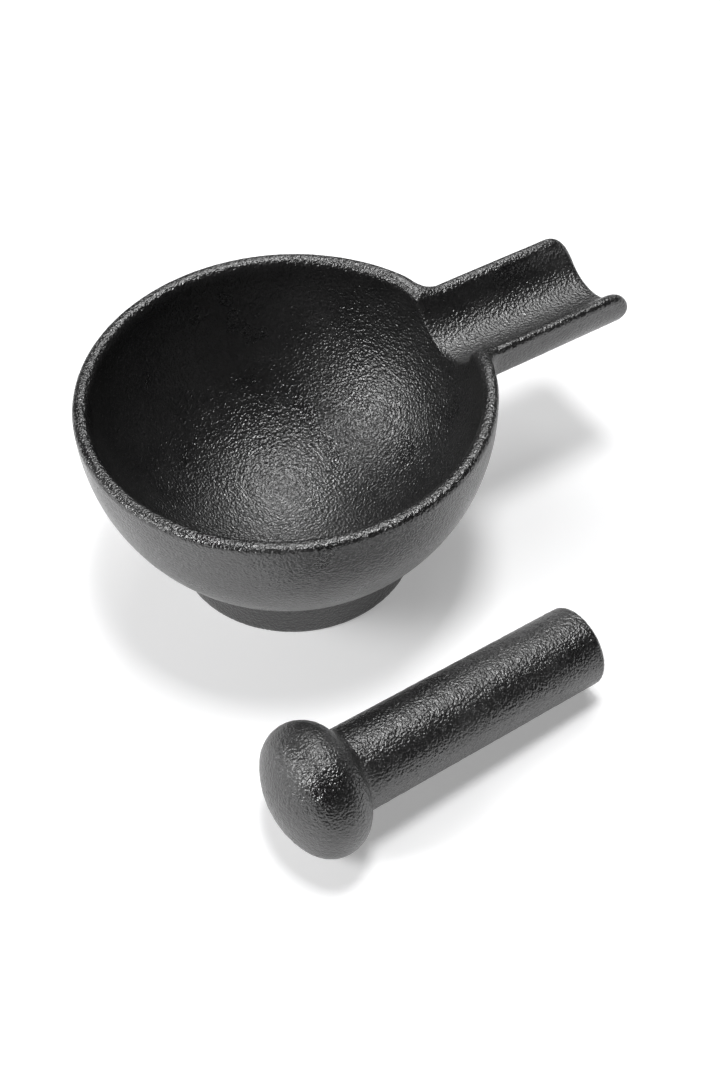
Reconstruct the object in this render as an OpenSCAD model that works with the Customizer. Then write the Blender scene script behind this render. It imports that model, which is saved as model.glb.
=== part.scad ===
// Mortar with a pouring channel for a handle, and its pestle lying beside it.
// Millimetres. The origin is the centre of the mortar's foot, on the table.
// The pouring channel runs out along +X.

/* [Bowl] */
// Radius of the bowl's outside, from the rim down to the round part
bowl_r = 65; // [50:1:90]
// Thickness of the bowl's wall
bowl_wall = 5; // [3.5:0.5:8]
// Height of the straight band under the rim
rim_band = 5; // [3:0.5:10]
// Gap between the table and the lowest point of the bowl
bowl_clearance = 1; // [1:0.5:8]
// Radius of the rim's outer edge
rim_round_out = 2; // [0.5:0.25:2.5]
// Radius of the rim's inner edge
rim_round_in = 2.5; // [0.25:0.25:3]

/* [Foot] */
// Outer radius of the foot ring
foot_r = 40; // [30:1:46]
// Thickness of the foot ring's wall
foot_wall = 7; // [5:0.5:12]
// Radius of the foot ring's outer bottom edge
foot_round = 0.8; // [0.25:0.05:2]

/* [Pouring channel] */
// Distance from the bowl's axis to the channel's open end
channel_reach = 119.2; // [100:0.2:160]
// Outer width of the channel
channel_w = 38.2; // [30:0.2:46]
// Outer depth of the channel below its wall tops
channel_depth = 18.4; // [16:0.1:30]
// Radius of the channel's two long bottom edges
channel_round = 13; // [2:0.5:14]
// Thickness of the channel's walls at their tops
channel_wall = 4.2; // [3:0.2:6]
// Depth of the trough below the wall tops
trough_depth = 12.4; // [8:0.2:14]
// How far the channel's wall tops lie below the rim
channel_drop = 3; // [0:0.5:8]
// How far the rim's dip runs out sideways for each millimetre of drop
dip_slope = 1.5; // [0.2:0.1:4]
// Radius of the channel's end corners, seen from the side
channel_corner = 9; // [1:0.5:12]

/* [Pestle] */
// Largest radius of the grinding head
head_r = 20.6; // [17:0.2:28]
// Radius of the round shoulder at the head's edge
head_round = 10.6; // [8:0.2:11]
// Length of the head's dome in front of its widest ring
head_nose = 13.6; // [12:0.2:18]
// Radius of the shaft
shaft_r = 13.1; // [10:0.1:16]
// Distance from the head's widest ring to the shaft's free end
shaft_reach = 97.6; // [80:0.2:130]
// Radius of the edge at the shaft's free end
shaft_round = 1.8; // [0.5:0.1:4]

/* [Resting place] */
// Gap between the bowl's outside and the pestle's head, seen from above
pestle_gap = 13.3; // [5:0.1:60]
// Distance of the head's widest ring from the bowl's axis, against +X
pestle_back = 50; // [0:1:80]
// Turn of the pestle about the upright axis
pestle_turn = 3; // [-20:1:20]

/* [Hidden] */
iron = "#2b2b2d";
$fn = 96;

// Steps along the large arcs and along the small edge rounds
arc_steps = 30;
round_steps = 8;
// How far a cutting solid runs past the face it cuts
past = 1;

// Heights of the bowl's round centre and of the rim
bowl_mid = bowl_clearance + bowl_r;
rim_h = bowl_mid + rim_band;
// Radius of the bowl's hollow
hollow_r = bowl_r - bowl_wall;

// Half width of the channel and of its trough, and the height of its wall tops
channel_half = channel_w / 2;
trough_half = channel_half - channel_wall;
channel_top = rim_h - channel_drop;

// The trough's floor is an arc from wall to wall, or a half circle where the trough is deeper
trough_arc_r = (trough_half * trough_half + trough_depth * trough_depth) / (2 * trough_depth);
trough_r = trough_depth < trough_half ? trough_arc_r : trough_half;
trough_mid = trough_r - trough_depth;
trough_turn = asin(max(trough_mid, 0) / trough_r);

// Where the shoulder's round has its centre, off the pestle's axis
head_ring = head_r - head_round;
// The dome is a ball that touches the shoulder's round from outside
nose_step = head_nose - head_round;
nose_mid = (head_ring * head_ring - nose_step * nose_step) / (2 * nose_step);
nose_r = nose_mid + head_nose;
nose_turn = atan2(head_ring, nose_mid);
// Where the back of the shoulder has come in to the shaft's radius
neck_turn = acos((shaft_r - head_ring) / head_round);
neck_at = head_round * sin(neck_turn);

// Slope at which the shoulder and the shaft's end both touch the table
lie_run = shaft_reach - shaft_round;
lie_side = head_ring - shaft_r + shaft_round;
lie_rise = head_round - shaft_round;
lie_slope = asin(lie_rise / norm([lie_run, lie_side])) + atan2(lie_side, lie_run);
lie_height = head_ring * cos(lie_slope) + head_round;

// Points along an arc about mid, from one angle to another
function arc(mid, radius, from, to, steps) = [
  for (i = [0 : steps])
    let (turn = from + (to - from) * i / steps)
      mid + radius * [cos(turn), sin(turn)]
];

// Half outline of the bowl's outside, filled in to the axis
module bowl_outside_outline() {
  polygon(concat(
    arc([0, bowl_mid], bowl_r, -90, 0, arc_steps),
    arc([bowl_r - rim_round_out, rim_h - rim_round_out], rim_round_out, 0, 90, round_steps),
    [[0, rim_h]]
  ));
}

// Half outline of the bowl's hollow, flared over the rim's inner edge
module bowl_hollow_outline() {
  polygon(concat(
    arc([0, bowl_mid], hollow_r, -90, 0, arc_steps),
    arc([hollow_r + rim_round_in, rim_h - rim_round_in], rim_round_in, 180, 90, round_steps),
    [[hollow_r + rim_round_in, rim_h + past], [0, rim_h + past]]
  ));
}

module bowl_outside() {
  rotate_extrude() bowl_outside_outline();
}

// The outlines across the channel have their zero height at its wall tops

module channel_outline() {
  across = channel_half - channel_round;
  down = channel_round - channel_depth;
  polygon(concat(
    [[-channel_half, 0]],
    arc([-across, down], channel_round, 180, 270, arc_steps),
    arc([across, down], channel_round, 270, 360, arc_steps),
    [[channel_half, 0]]
  ));
}

module trough_outline() {
  polygon(concat(
    arc([0, trough_mid], trough_r, 180 + trough_turn, 360 - trough_turn, arc_steps),
    [[trough_half, channel_drop + past], [-trough_half, channel_drop + past]]
  ));
}

// The dip brings the rim down to the middle of the channel's wall tops
module dip_outline() {
  floor_half = channel_half - channel_wall / 2;
  top_half = floor_half + dip_slope * (channel_drop + past);
  polygon([
    [-floor_half, 0],
    [floor_half, 0],
    [top_half, channel_drop + past],
    [-top_half, channel_drop + past]
  ]);
}

// Draws an outline out along +X, from one place to another
module along_channel(from, to) {
  translate([from, 0, channel_top])
    rotate([90, 0, 90])
      linear_extrude(to - from) children();
}

// Everything the channel's end may keep, with its top corner rounded off
module channel_end_limit() {
  corner_x = channel_reach - channel_corner;
  corner_z = channel_top - channel_corner;
  rotate([90, 0, 0]) linear_extrude(2 * bowl_r, center = true) polygon(concat(
    [[0, channel_top], [0, 0], [channel_reach, 0]],
    arc([corner_x, corner_z], channel_corner, 0, 90, arc_steps)
  ));
}

module bowl() {
  color(iron) difference() {
    bowl_outside();
    rotate_extrude() bowl_hollow_outline();
    along_channel(hollow_r / 2, bowl_r + past) trough_outline();
    along_channel(hollow_r / 2, bowl_r + past) dip_outline();
  }
}

module foot_ring() {
  color(iron) difference() {
    rotate_extrude() polygon(concat(
      [[foot_r - foot_wall, 0]],
      arc([foot_r - foot_round, foot_round], foot_round, -90, 0, round_steps),
      [[foot_r, bowl_mid], [foot_r - foot_wall, bowl_mid]]
    ));
    bowl_outside();
  }
}

module pouring_channel() {
  color(iron) difference() {
    intersection() {
      along_channel(hollow_r / 2, channel_reach) channel_outline();
      channel_end_limit();
    }
    along_channel(0, channel_reach + past) trough_outline();
    bowl_outside();
  }
}

// Lays a pestle piece, made along +Z from the head's widest ring, on the table
module lie_down() {
  translate([-pestle_back, -(bowl_r + pestle_gap + head_r), lie_height])
    rotate([0, 0, pestle_turn])
      rotate([0, 90 + lie_slope, 0])
        children();
}

module pestle_head() {
  color(iron) lie_down() rotate_extrude() polygon(concat(
    arc([0, nose_mid], nose_r, -90, nose_turn - 90, arc_steps),
    arc([head_ring, 0], head_round, nose_turn - 90, neck_turn, arc_steps),
    [[0, neck_at]]
  ));
}

module pestle_shaft() {
  color(iron) lie_down() rotate_extrude() polygon(concat(
    [[0, neck_at], [shaft_r, neck_at]],
    arc([shaft_r - shaft_round, shaft_reach - shaft_round], shaft_round, 0, 90, round_steps),
    [[0, shaft_reach]]
  ));
}

bowl();
foot_ring();
pouring_channel();
pestle_head();
pestle_shaft();
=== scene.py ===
import math

import bpy
import numpy as np
from mathutils import Matrix, Vector


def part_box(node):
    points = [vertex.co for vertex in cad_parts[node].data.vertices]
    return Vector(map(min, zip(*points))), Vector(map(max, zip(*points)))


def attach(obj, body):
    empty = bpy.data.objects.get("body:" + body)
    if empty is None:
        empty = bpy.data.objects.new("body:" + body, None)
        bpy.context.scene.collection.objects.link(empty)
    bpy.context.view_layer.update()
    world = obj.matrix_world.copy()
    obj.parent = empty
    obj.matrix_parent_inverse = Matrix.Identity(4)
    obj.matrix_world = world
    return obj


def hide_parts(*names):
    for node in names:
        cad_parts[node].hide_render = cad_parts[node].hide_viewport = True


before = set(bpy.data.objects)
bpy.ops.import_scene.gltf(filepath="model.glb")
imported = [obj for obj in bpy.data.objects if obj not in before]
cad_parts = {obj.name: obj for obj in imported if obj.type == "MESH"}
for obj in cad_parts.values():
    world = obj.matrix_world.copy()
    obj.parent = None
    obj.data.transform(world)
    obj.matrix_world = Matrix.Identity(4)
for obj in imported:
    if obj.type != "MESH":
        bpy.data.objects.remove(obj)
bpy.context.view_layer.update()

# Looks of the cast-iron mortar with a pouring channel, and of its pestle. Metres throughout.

MM = 0.001

# ---------------------------------------------------------------- driving sizes

# Walls, depths and rounds that a node's box doesn't give
BOWL_WALL = 5.0 * MM
FOOT_WALL = 7.0 * MM
CHANNEL_WALL = 4.2 * MM
CHANNEL_ROUND = 13.0 * MM
TROUGH_DEPTH = 12.4 * MM
CHANNEL_CORNER = 9.0 * MM
CHANNEL_FILLET = 5.0 * MM
CHANNEL_EDGE = 2.0 * MM
DIP_SLOPE = 1.5
DIP_ROUND = 3.0 * MM
RIM_ROUND_OUT = 2.0 * MM
RIM_ROUND_IN = 2.5 * MM
MOUTH_ROUND = 0.6 * MM
FOOT_ROUND = 0.8 * MM
FOOT_FILLET = 1.5 * MM

HEAD_R = 20.6 * MM
HEAD_ROUND = 10.6 * MM
HEAD_NOSE = 13.6 * MM
SHAFT_R = 13.1 * MM
SHAFT_REACH = 97.6 * MM
SHAFT_ROUND = 1.8 * MM
NECK_FILLET = 2.5 * MM
PESTLE_TURN = math.radians(3.0)

# Mesh sizes
MORTAR_STEP = 1.0 * MM
PESTLE_STEP = 0.45 * MM

# Relief that the sand leaves in the casting
MORTAR_RELIEF = 0.06 * MM
MORTAR_RELIEF_GRAIN = 5.0 * MM
PESTLE_RELIEF = 0.16 * MM
PESTLE_RELIEF_GRAIN = 1.6 * MM
SAND_SEED = 7

# Camera
CAMERA_AIM = Vector((17.9, -12.1, 0.0)) * MM
CAMERA_DISTANCE = 509.8 * MM
CAMERA_AZIMUTH = math.radians(-30.57)
CAMERA_HEIGHT_ANGLE = math.radians(49.7)
CAMERA_ROLL = math.radians(-1.42)
CAMERA_LENS = 50.0

# Brightness of the room on the camera's side and behind the object
ROOM_DARK = 0.14
ROOM_PALE = 0.75
ROOM_PALE_SIDE = (-0.35, 0.8, 0.5)
# The white table gives off a little light of its own
FLOOR_GLOW = 0.33
FLOOR_COLOR = (0.8, 0.8, 0.805, 1)
FLOOR_SIZE = 6.0

# Softboxes: azimuth from the camera's right hand and height angle in degrees, distance, width, length, power
SOFTBOX_AIM = Vector((0.0, -0.04, 0.03))
SOFTBOXES = {
    "key": (60, 84, 1.2, 0.28, 0.28, 9.5),
    "back_softbox": (80, 52, 1.0, 0.7, 0.5, 4.4),
    "left_softbox": (200, 33, 1.0, 0.35, 0.35, 7.5),
}

# Oiled iron: its colours between the grain's low and high parts, and its range of roughness
IRON_DARK = (0.006, 0.006, 0.0063, 1)
IRON_LIGHT = (0.020, 0.0195, 0.0195, 1)
IRON_ROUGHNESS = (0.25, 0.37)
PIT_SHARE = 0.3


# ---------------------------------------------------------------- camera, floor and light

def turned(vector, azimuth):
    """A vector turned about the upright axis."""
    return Matrix.Rotation(azimuth, 3, "Z") @ Vector(vector)


def make_camera():
    camera = bpy.data.objects.new("camera", bpy.data.cameras.new("camera"))
    bpy.context.scene.collection.objects.link(camera)
    camera.data.lens = CAMERA_LENS
    camera.data.clip_start = 0.01
    back = turned((0, -math.cos(CAMERA_HEIGHT_ANGLE), 0), CAMERA_AZIMUTH)
    up = Vector((0, 0, math.sin(CAMERA_HEIGHT_ANGLE)))
    place = CAMERA_AIM + CAMERA_DISTANCE * (back + up)
    look = (CAMERA_AIM - place).to_track_quat("-Z", "Y").to_matrix()
    camera.matrix_world = Matrix.Translation(place) @ (look @ Matrix.Rotation(CAMERA_ROLL, 3, "Z")).to_4x4()
    bpy.context.scene.camera = camera


def make_softbox(name, azimuth, height_angle, distance, width, length, power):
    """A soft rectangular light that looks at the mortar, placed by azimuth from the camera's right hand."""
    data = bpy.data.lights.new(name, "AREA")
    data.shape = "RECTANGLE"
    data.size = width
    data.size_y = length
    data.energy = power
    box = bpy.data.objects.new(name, data)
    bpy.context.scene.collection.objects.link(box)
    level = turned((math.cos(azimuth), math.sin(azimuth), 0), CAMERA_AZIMUTH)
    upwards = Vector((0, 0, math.sin(height_angle)))
    box.location = SOFTBOX_AIM + distance * (math.cos(height_angle) * level + upwards)
    box.rotation_euler = (SOFTBOX_AIM - box.location).to_track_quat("-Z", "Y").to_euler()


def make_studio():
    bpy.ops.mesh.primitive_plane_add(size=FLOOR_SIZE, location=(0, 0, 0))
    floor = bpy.context.object
    floor.name = "floor"
    paper = bpy.data.materials.new("white_paper")
    paper.use_nodes = True
    shader = paper.node_tree.nodes["Principled BSDF"]
    shader.inputs["Base Color"].default_value = FLOOR_COLOR
    shader.inputs["Roughness"].default_value = 0.9
    shader.inputs["Specular IOR Level"].default_value = 0.1
    shader.inputs["Emission Color"].default_value = (1.0, 1.0, 1.0, 1)
    shader.inputs["Emission Strength"].default_value = FLOOR_GLOW
    floor.data.materials.append(paper)

    bpy.context.scene.world = room_glow()
    bpy.context.scene.view_settings.view_transform = "Standard"
    for name, (azimuth, height_angle, *sizes) in SOFTBOXES.items():
        make_softbox(name, math.radians(azimuth), math.radians(height_angle), *sizes)


def arithmetic(tree, operation, first, second):
    """A math node on two sockets or plain numbers, and what it puts out."""
    node = tree.nodes.new("ShaderNodeMath")
    node.operation = operation
    for place, value in enumerate((first, second)):
        if isinstance(value, bpy.types.NodeSocket):
            tree.links.new(value, node.inputs[place])
        else:
            node.inputs[place].default_value = value
    return node.outputs[0]


def add_sockets(tree, side, kind, *names):
    """Named sockets of one kind on the input or the output side of a node group."""
    for name in names:
        tree.interface.new_socket(name, in_out=side, socket_type="NodeSocket" + kind)


def room_glow():
    """A room that is pale behind the object and dark on the camera's side."""
    world = bpy.data.worlds.new("studio")
    world.use_nodes = True
    nodes, links = world.node_tree.nodes, world.node_tree.links
    place = nodes.new("ShaderNodeTexCoord")
    towards = nodes.new("ShaderNodeVectorMath")
    towards.operation = "DOT_PRODUCT"
    towards.inputs[1].default_value = turned(ROOM_PALE_SIDE, CAMERA_AZIMUTH)
    glow = nodes.new("ShaderNodeMapRange")
    glow.interpolation_type = "SMOOTHSTEP"
    glow.inputs["From Min"].default_value = -0.5
    glow.inputs["From Max"].default_value = 0.9
    glow.inputs["To Min"].default_value = ROOM_DARK
    glow.inputs["To Max"].default_value = ROOM_PALE
    links.new(place.outputs["Generated"], towards.inputs[0])
    links.new(towards.outputs["Value"], glow.inputs["Value"])
    links.new(glow.outputs[0], nodes["Background"].inputs["Strength"])
    return world


# ---------------------------------------------------------------- shapes as distance functions
# Each function gives the distance from points to a surface, negative inside.

def round_max(a, b, radius):
    """What is in both shapes, with the edge between them rounded."""
    corner = np.hypot(np.maximum(a + radius, 0), np.maximum(b + radius, 0))
    return np.minimum(-radius, np.maximum(a, b)) + corner


def round_min(a, b, radius):
    """What is in either shape, with a fillet between them."""
    corner = np.hypot(np.maximum(radius - a, 0), np.maximum(radius - b, 0))
    return np.maximum(radius, np.minimum(a, b)) - corner


def upright_cup(across, height, radius):
    """A ball below height 0 and a bar of the same radius above it."""
    return np.hypot(across, np.minimum(height, 0)) - radius


def dip_distance(y, z, channel_half, channel_top):
    """The wedge that brings the rim down to the middle of the channel's wall tops."""
    lean = math.atan(DIP_SLOPE)
    floor_half = channel_half - CHANNEL_WALL / 2
    side = (np.abs(y) - floor_half - (z - channel_top) * DIP_SLOPE) * math.cos(lean)
    return round_max(side, channel_top - z, DIP_ROUND)


def trough_distance(y, z, channel_half, channel_top):
    """The trough, whose floor is one arc from wall to wall."""
    half = channel_half - CHANNEL_WALL
    radius = (half ** 2 + TROUGH_DEPTH ** 2) / (2 * TROUGH_DEPTH)
    mid = channel_top + radius - TROUGH_DEPTH
    walls = np.maximum(np.abs(y) - half, mid - radius - z)
    return np.where(z < channel_top, np.hypot(y, z - mid) - radius, walls)


def mortar_distance(x, y, z):
    bowl_low, bowl_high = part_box("bowl")
    foot_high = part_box("foot_ring")[1]
    channel_low, channel_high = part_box("pouring_channel")
    rim_h = bowl_high.z
    bowl_r = bowl_high.y
    bowl_mid = bowl_low.z + bowl_r
    channel_half = channel_high.y
    channel_top = channel_high.z
    foot_r = foot_high.x
    across = np.hypot(x, y)
    beyond = bowl_r / 2 - x

    outside = round_max(upright_cup(across, z - bowl_mid, bowl_r), z - rim_h, RIM_ROUND_OUT)
    end = round_max(x - channel_high.x, z - channel_top, CHANNEL_CORNER)
    section = round_max(np.abs(y) - channel_half, channel_low.z - z, CHANNEL_ROUND)
    channel = np.maximum(round_max(section, end, CHANNEL_EDGE), -x)
    outside = round_min(outside, channel, CHANNEL_FILLET)

    foot = round_max(across - foot_r, -z, FOOT_ROUND)
    foot = round_max(foot, foot_r - FOOT_WALL - across, FOOT_ROUND)
    foot = np.maximum(foot, z - bowl_mid / 2)
    outside = round_min(outside, foot, FOOT_FILLET)

    dip = np.maximum(dip_distance(y, z, channel_half, channel_top), beyond)
    outside = round_max(outside, -dip, DIP_ROUND)
    bowl_hollow = upright_cup(across, z - bowl_mid, bowl_r - BOWL_WALL)
    trough = np.maximum(trough_distance(y, z, channel_half, channel_top), beyond)
    kept = round_max(-bowl_hollow, -trough, MOUTH_ROUND)
    return round_max(outside, kept, RIM_ROUND_IN)


def gradient_of(distance, points, reach=0.02 * MM):
    slopes = []
    for axis in range(3):
        ahead, behind = points.copy(), points.copy()
        ahead[:, axis] += reach
        behind[:, axis] -= reach
        slopes.append((distance(*ahead.T) - distance(*behind.T)) / (2 * reach))
    return np.stack(slopes, 1)


def cells_crossed(field):
    """Which grid cells the surface crosses, and where in each cell, in steps from its low corner."""
    size = [n - 1 for n in field.shape]

    def at(corner):
        i, j, k = corner
        return field[i:size[0] + i, j:size[1] + j, k:size[2] + k]

    total = np.zeros((*size, 3))
    count = np.zeros(size)
    for start in np.ndindex(2, 2, 2):
        for axis in range(3):
            if start[axis]:
                continue
            stop = tuple(1 if a == axis else start[a] for a in range(3))
            near, far = at(start), at(stop)
            crossed = (near < 0) != (far < 0)
            share = np.where(crossed, near / np.where(crossed, near - far, 1), 0)
            for a in range(3):
                total[..., a] += np.where(crossed, start[a] + share * (stop[a] - start[a]), 0)
            count += crossed
    active = count > 0
    return active, total[active] / count[active][:, None]


def quads_between(field, number):
    """One quad round each grid edge that the surface crosses, facing outwards."""
    size = number.shape
    quads = []
    for axis in range(3):
        u, v = (axis + 1) % 3, (axis + 2) % 3
        inner = [slice(1, size[a]) for a in range(3)]
        inner[axis] = slice(0, size[axis])
        ahead = list(inner)
        ahead[axis] = slice(1, size[axis] + 1)
        near, far = field[tuple(inner)], field[tuple(ahead)]
        ring = []
        for du, dv in ((1, 1), (0, 1), (0, 0), (1, 0)):
            part = [slice(0, size[a]) for a in range(3)]
            part[u] = slice(1 - du, size[u] - du)
            part[v] = slice(1 - dv, size[v] - dv)
            ring.append(number[tuple(part)])
        ring = np.stack(ring, -1)
        quads.append(ring[(near < 0) & (far >= 0)])
        quads.append(ring[(near >= 0) & (far < 0)][:, ::-1])
    return np.concatenate(quads)


def skin_of(distance, low, high, step):
    """Points and quads of the surface where the distance is nought, one point in each crossed grid cell."""
    # The part of a step keeps the grid's planes off the rim's and the foot's flat faces
    axes = [np.arange(low[i] - 2.3 * step, high[i] + 3 * step, step) for i in range(3)]
    field = distance(*np.meshgrid(*axes, indexing="ij"))
    active, inside = cells_crossed(field)
    number = np.full(active.shape, -1)
    number[active] = np.arange(active.sum())
    first = np.array([a[0] for a in axes])
    points = first + step * (np.argwhere(active) + inside)
    for _ in range(3):
        slope = gradient_of(distance, points)
        points -= slope * (distance(*points.T) / (slope ** 2).sum(1))[:, None]
    return points, quads_between(field, number)


# ---------------------------------------------------------------- meshes

def mesh_object(name, points, faces):
    mesh = bpy.data.meshes.new(name)
    mesh.from_pydata([tuple(p) for p in points], [], [tuple(f) for f in faces])
    mesh.validate()
    mesh.shade_smooth()
    piece = bpy.data.objects.new(name, mesh)
    bpy.context.scene.collection.objects.link(piece)
    return piece


def make_mortar():
    boxes = np.array([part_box(node) for node in ("bowl", "foot_ring", "pouring_channel")])
    low, high = boxes[:, 0].min(0), boxes[:, 1].max(0)
    points, quads = skin_of(mortar_distance, low, high, MORTAR_STEP)
    # The foot stands on the table and never below it
    points[:, 2] = np.maximum(points[:, 2], 0)
    return mesh_object("mortar_casting", points, quads.tolist())


def arc(mid, radius, start, stop, step):
    """Points on an arc in the pestle's half section, (distance from the axis, place along it)."""
    count = max(2, math.ceil(abs(stop - start) * radius / step))
    turns = np.linspace(start, stop, count + 1)
    return np.stack([mid[0] + radius * np.cos(turns), mid[1] + radius * np.sin(turns)], 1)


def line(start, stop, step):
    count = max(1, math.ceil(math.dist(start, stop) / step))
    share = np.linspace(0, 1, count + 1)[1:, None]
    return np.array(start) + share * (np.array(stop) - np.array(start))


def pestle_section():
    """Half outline of the pestle from the tip of its dome to the middle of its free end."""
    ring = HEAD_R - HEAD_ROUND
    nose_step = HEAD_NOSE - HEAD_ROUND
    nose_mid = (ring ** 2 - nose_step ** 2) / (2 * nose_step)
    nose_turn = math.atan2(ring, nose_mid)
    # The fillet's circle touches the shoulder's round and the shaft
    fillet_at = SHAFT_R + NECK_FILLET
    neck_turn = math.acos((fillet_at - ring) / (HEAD_ROUND + NECK_FILLET))
    fillet_mid = (fillet_at, (HEAD_ROUND + NECK_FILLET) * math.sin(neck_turn))
    end_mid = (SHAFT_R - SHAFT_ROUND, SHAFT_REACH - SHAFT_ROUND)
    quarter = math.pi / 2
    parts = [
        arc((0, nose_mid), nose_mid + HEAD_NOSE, -quarter, nose_turn - quarter, PESTLE_STEP),
        arc((ring, 0), HEAD_ROUND, nose_turn - quarter, neck_turn, PESTLE_STEP)[1:],
        arc(fillet_mid, NECK_FILLET, neck_turn + math.pi, math.pi, PESTLE_STEP)[1:],
    ]
    parts.append(line(parts[-1][-1], (SHAFT_R, end_mid[1]), PESTLE_STEP))
    parts.append(arc(end_mid, SHAFT_ROUND, 0, quarter, PESTLE_STEP / 2)[1:])
    parts.append(line(parts[-1][-1], (0, SHAFT_REACH), PESTLE_STEP))
    return np.concatenate(parts)


def pestle_lie():
    """How a pestle made along +Z from its widest ring lies on the table: its turn and the ring's height."""
    ring = HEAD_R - HEAD_ROUND
    run = SHAFT_REACH - SHAFT_ROUND
    side = ring - SHAFT_R + SHAFT_ROUND
    slope = math.asin((HEAD_ROUND - SHAFT_ROUND) / math.hypot(run, side)) + math.atan2(side, run)
    height = ring * math.cos(slope) + HEAD_ROUND
    return Matrix.Rotation(PESTLE_TURN, 4, "Z") @ Matrix.Rotation(math.pi / 2 + slope, 4, "Y"), height


def middle_of(points):
    points = np.array(points)
    return Vector((points.min(0) + points.max(0)) / 2)


def make_pestle():
    section = pestle_section()
    around = int(2 * math.pi * SHAFT_R * 1.25 / PESTLE_STEP)
    turns = np.linspace(0, 2 * math.pi, around, endpoint=False)
    inner = section[1:-1]
    rings = np.stack([
        inner[:, :1] * np.cos(turns),
        inner[:, :1] * np.sin(turns),
        np.repeat(inner[:, 1:], around, 1),
    ], -1).reshape(-1, 3)
    points = np.concatenate([[[0, 0, section[0, 1]]], rings, [[0, 0, section[-1, 1]]]])
    last = len(points) - 1
    faces = []
    for j in range(around):
        k = (j + 1) % around
        faces.append((0, 1 + k, 1 + j))
        for i in range(len(inner) - 1):
            row, after = 1 + i * around, 1 + (i + 1) * around
            faces.append((row + j, row + k, after + k, after + j))
        row = 1 + (len(inner) - 1) * around
        faces.append((row + j, row + k, last))
    piece = mesh_object("pestle_casting", points, faces)

    turn, height = pestle_lie()
    piece.data.transform(turn)
    wanted = middle_of([*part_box("pestle_head"), *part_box("pestle_shaft")])
    offset = wanted - middle_of([v.co for v in piece.data.vertices])
    offset.z = height
    piece.data.transform(Matrix.Translation(offset))
    return piece


# ---------------------------------------------------------------- casting relief, in the mesh

def sand_relief_tree():
    """Geometry nodes that press the sand's grain into a casting, never outwards."""
    tree = bpy.data.node_groups.new("sand_relief", "GeometryNodeTree")
    add_sockets(tree, "INPUT", "Geometry", "Geometry")
    add_sockets(tree, "INPUT", "Float", "Depth", "Grain", "Seed")
    add_sockets(tree, "INPUT", "Material", "Iron")
    add_sockets(tree, "OUTPUT", "Geometry", "Geometry")
    nodes, links = tree.nodes, tree.links
    given = nodes.new("NodeGroupInput")
    result = nodes.new("NodeGroupOutput")
    place = nodes.new("GeometryNodeInputPosition")
    normal = nodes.new("GeometryNodeInputNormal")
    parts = nodes.new("ShaderNodeSeparateXYZ")
    links.new(place.outputs[0], parts.inputs[0])

    noise = nodes.new("ShaderNodeTexNoise")
    noise.noise_dimensions = "4D"
    noise.inputs["Detail"].default_value = 2.0
    noise.inputs["Roughness"].default_value = 0.55
    links.new(place.outputs[0], noise.inputs["Vector"])
    links.new(arithmetic(tree, "DIVIDE", 1.0, given.outputs["Grain"]), noise.inputs["Scale"])
    links.new(given.outputs["Seed"], noise.inputs["W"])

    # The relief fades out just above the table
    foot_fade = nodes.new("ShaderNodeMapRange")
    foot_fade.inputs["From Min"].default_value = 0.3 * MM
    foot_fade.inputs["From Max"].default_value = 1.2 * MM
    links.new(parts.outputs["Z"], foot_fade.inputs["Value"])

    press = nodes.new("ShaderNodeMapRange")
    press.inputs["From Min"].default_value = 0.3
    press.inputs["From Max"].default_value = 0.7
    press.inputs["To Min"].default_value = -1.0
    press.inputs["To Max"].default_value = 0.0
    links.new(noise.outputs[0], press.inputs["Value"])
    depth = arithmetic(tree, "MULTIPLY", press.outputs[0], given.outputs["Depth"])
    faded = arithmetic(tree, "MULTIPLY", depth, foot_fade.outputs[0])
    shift = nodes.new("ShaderNodeVectorMath")
    shift.operation = "SCALE"
    links.new(normal.outputs[0], shift.inputs[0])
    links.new(faded, shift.inputs["Scale"])
    move = nodes.new("GeometryNodeSetPosition")
    links.new(given.outputs["Geometry"], move.inputs["Geometry"])
    links.new(shift.outputs[0], move.inputs["Offset"])
    real = nodes.new("GeometryNodeRealizeInstances")
    links.new(move.outputs[0], real.inputs[0])
    dress = nodes.new("GeometryNodeSetMaterial")
    links.new(real.outputs[0], dress.inputs["Geometry"])
    links.new(given.outputs["Iron"], dress.inputs["Material"])
    links.new(dress.outputs[0], result.inputs[0])
    return tree


def press_sand(piece, tree, material, depth, grain):
    """Runs the relief on a piece and keeps the result as its plain mesh."""
    modifier = piece.modifiers.new("sand_relief", "NODES")
    modifier.node_group = tree
    wanted = {"Depth": depth, "Grain": grain, "Seed": float(SAND_SEED), "Iron": material}
    for socket in tree.interface.items_tree:
        if socket.in_out == "INPUT" and socket.name in wanted:
            modifier[socket.identifier] = wanted[socket.name]
    bpy.context.view_layer.update()
    evaluated = piece.evaluated_get(bpy.context.evaluated_depsgraph_get())
    pressed = bpy.data.meshes.new_from_object(evaluated)
    piece.modifiers.clear()
    piece.data = pressed
    pressed.name = piece.name
    pressed.materials.clear()
    pressed.materials.append(material)
    pressed.shade_smooth()


# ---------------------------------------------------------------- iron

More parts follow.
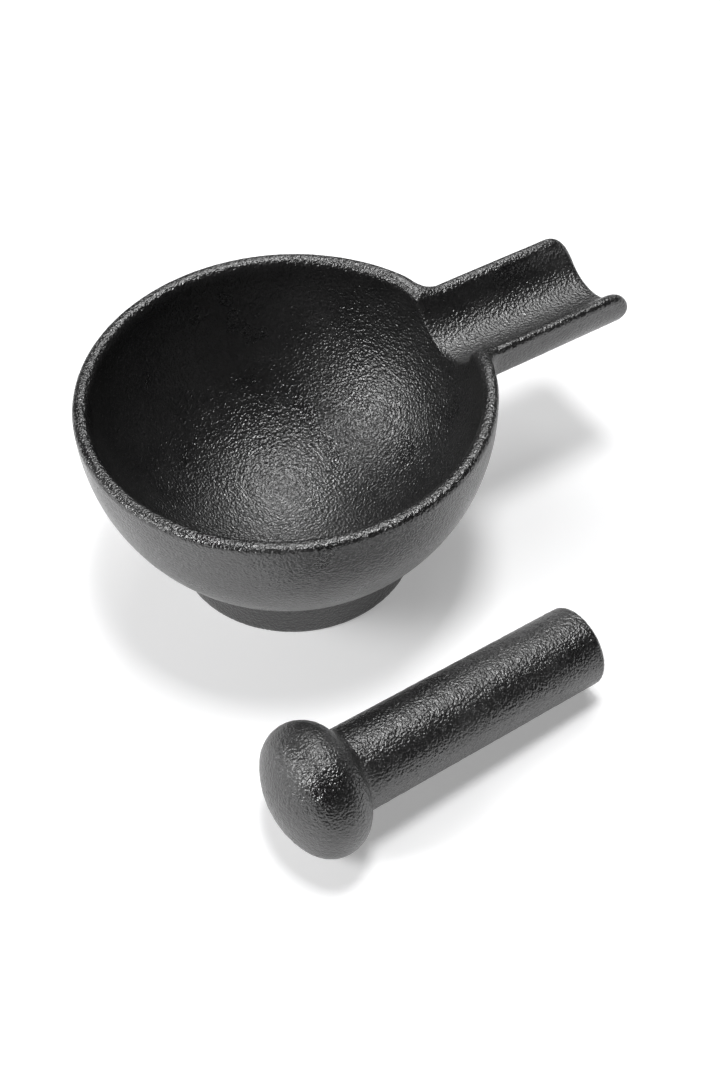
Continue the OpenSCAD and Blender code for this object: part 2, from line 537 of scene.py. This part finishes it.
def casting_grain_group():
    """Fine height of a sand-cast skin: rounded lumps with finer pits over them."""
    group = bpy.data.node_groups.new("casting_grain", "ShaderNodeTree")
    add_sockets(group, "INPUT", "Float", "Lump Size", "Pit Size", "Pit Share")
    add_sockets(group, "OUTPUT", "Float", "Height")
    nodes, links = group.nodes, group.links
    given = nodes.new("NodeGroupInput")
    result = nodes.new("NodeGroupOutput")
    place = nodes.new("ShaderNodeTexCoord")
    lumps = nodes.new("ShaderNodeTexNoise")
    lumps.inputs["Detail"].default_value = 1.5
    lumps.inputs["Roughness"].default_value = 0.45
    links.new(place.outputs["Object"], lumps.inputs["Vector"])
    links.new(arithmetic(group, "DIVIDE", 1.0, given.outputs["Lump Size"]), lumps.inputs["Scale"])
    pits = nodes.new("ShaderNodeTexVoronoi")
    pits.feature = "SMOOTH_F1"
    pits.inputs["Smoothness"].default_value = 0.6
    links.new(place.outputs["Object"], pits.inputs["Vector"])
    links.new(arithmetic(group, "DIVIDE", 1.0, given.outputs["Pit Size"]), pits.inputs["Scale"])
    share = arithmetic(group, "MULTIPLY", pits.outputs["Distance"], given.outputs["Pit Share"])
    height = arithmetic(group, "SUBTRACT", lumps.outputs[0], share)
    links.new(height, result.inputs["Height"])
    return group


def iron_skin_group():
    """Slow changes of tone and roughness over oiled black iron. The grain's height shifts the tone."""
    group = bpy.data.node_groups.new("iron_skin", "ShaderNodeTree")
    add_sockets(group, "INPUT", "Float", "Height", "Roughness Low", "Roughness High")
    add_sockets(group, "INPUT", "Color", "Dark", "Light")
    add_sockets(group, "OUTPUT", "Color", "Color")
    add_sockets(group, "OUTPUT", "Float", "Roughness")
    nodes, links = group.nodes, group.links
    given = nodes.new("NodeGroupInput")
    result = nodes.new("NodeGroupOutput")
    place = nodes.new("ShaderNodeTexCoord")
    patches = nodes.new("ShaderNodeTexNoise")
    patches.inputs["Scale"].default_value = 60.0
    patches.inputs["Detail"].default_value = 3.0
    links.new(place.outputs["Object"], patches.inputs["Vector"])
    both = arithmetic(group, "MULTIPLY", patches.outputs[0], given.outputs["Height"])
    tone = nodes.new("ShaderNodeMapRange")
    tone.inputs["From Min"].default_value = 0.05
    tone.inputs["From Max"].default_value = 0.35
    links.new(both, tone.inputs["Value"])
    mix = nodes.new("ShaderNodeMix")
    mix.data_type = "RGBA"
    links.new(tone.outputs[0], mix.inputs["Factor"])
    links.new(given.outputs["Dark"], mix.inputs[6])
    links.new(given.outputs["Light"], mix.inputs[7])
    links.new(mix.outputs[2], result.inputs["Color"])
    roughness = nodes.new("ShaderNodeMapRange")
    roughness.inputs["From Min"].default_value = 0.3
    roughness.inputs["From Max"].default_value = 0.7
    links.new(patches.outputs[0], roughness.inputs["Value"])
    links.new(given.outputs["Roughness Low"], roughness.inputs["To Min"])
    links.new(given.outputs["Roughness High"], roughness.inputs["To Max"])
    links.new(roughness.outputs[0], result.inputs["Roughness"])
    return group


def oiled_iron(name, grain, skin, lump, pit, bump):
    """Black oiled iron with its own grain sizes and bump height."""
    material = bpy.data.materials.new(name)
    material.use_nodes = True
    nodes, links = material.node_tree.nodes, material.node_tree.links
    shader = nodes["Principled BSDF"]
    shader.inputs["Specular IOR Level"].default_value = 1.0
    height = nodes.new("ShaderNodeGroup")
    height.node_tree = grain
    height.inputs["Lump Size"].default_value = lump
    height.inputs["Pit Size"].default_value = pit
    height.inputs["Pit Share"].default_value = PIT_SHARE
    tone = nodes.new("ShaderNodeGroup")
    tone.node_tree = skin
    tone.inputs["Dark"].default_value = IRON_DARK
    tone.inputs["Light"].default_value = IRON_LIGHT
    tone.inputs["Roughness Low"].default_value = IRON_ROUGHNESS[0]
    tone.inputs["Roughness High"].default_value = IRON_ROUGHNESS[1]
    relief = nodes.new("ShaderNodeBump")
    relief.inputs["Strength"].default_value = 1.0
    relief.inputs["Distance"].default_value = bump
    links.new(height.outputs["Height"], tone.inputs["Height"])
    links.new(height.outputs["Height"], relief.inputs["Height"])
    links.new(tone.outputs["Color"], shader.inputs["Base Color"])
    links.new(tone.outputs["Roughness"], shader.inputs["Roughness"])
    links.new(relief.outputs["Normal"], shader.inputs["Normal"])
    return material


def dress_nodes(iron, *names):
    """Gives CAD nodes the iron of the casting that stands for them."""
    for name in names:
        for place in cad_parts[name].material_slots:
            place.material = iron


# ---------------------------------------------------------------- the object

make_camera()
make_studio()

grain_group = casting_grain_group()
skin_group = iron_skin_group()
# Sizes of the lumps and of the pits, and the bump's height
mortar_iron = oiled_iron("oiled_mortar_iron", grain_group, skin_group, 0.9 * MM, 0.65 * MM, 0.45 * MM)
pestle_iron = oiled_iron("oiled_pestle_iron", grain_group, skin_group, 0.78 * MM, 0.58 * MM, 0.4 * MM)

relief_tree = sand_relief_tree()
mortar = make_mortar()
press_sand(mortar, relief_tree, mortar_iron, MORTAR_RELIEF, MORTAR_RELIEF_GRAIN)
pestle = make_pestle()
press_sand(pestle, relief_tree, pestle_iron, PESTLE_RELIEF, PESTLE_RELIEF_GRAIN)

dress_nodes(mortar_iron, "bowl", "foot_ring", "pouring_channel")
dress_nodes(pestle_iron, "pestle_head", "pestle_shaft")

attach(mortar, "mortar")
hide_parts("bowl", "foot_ring", "pouring_channel")
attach(pestle, "pestle")
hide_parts("pestle_head", "pestle_shaft")
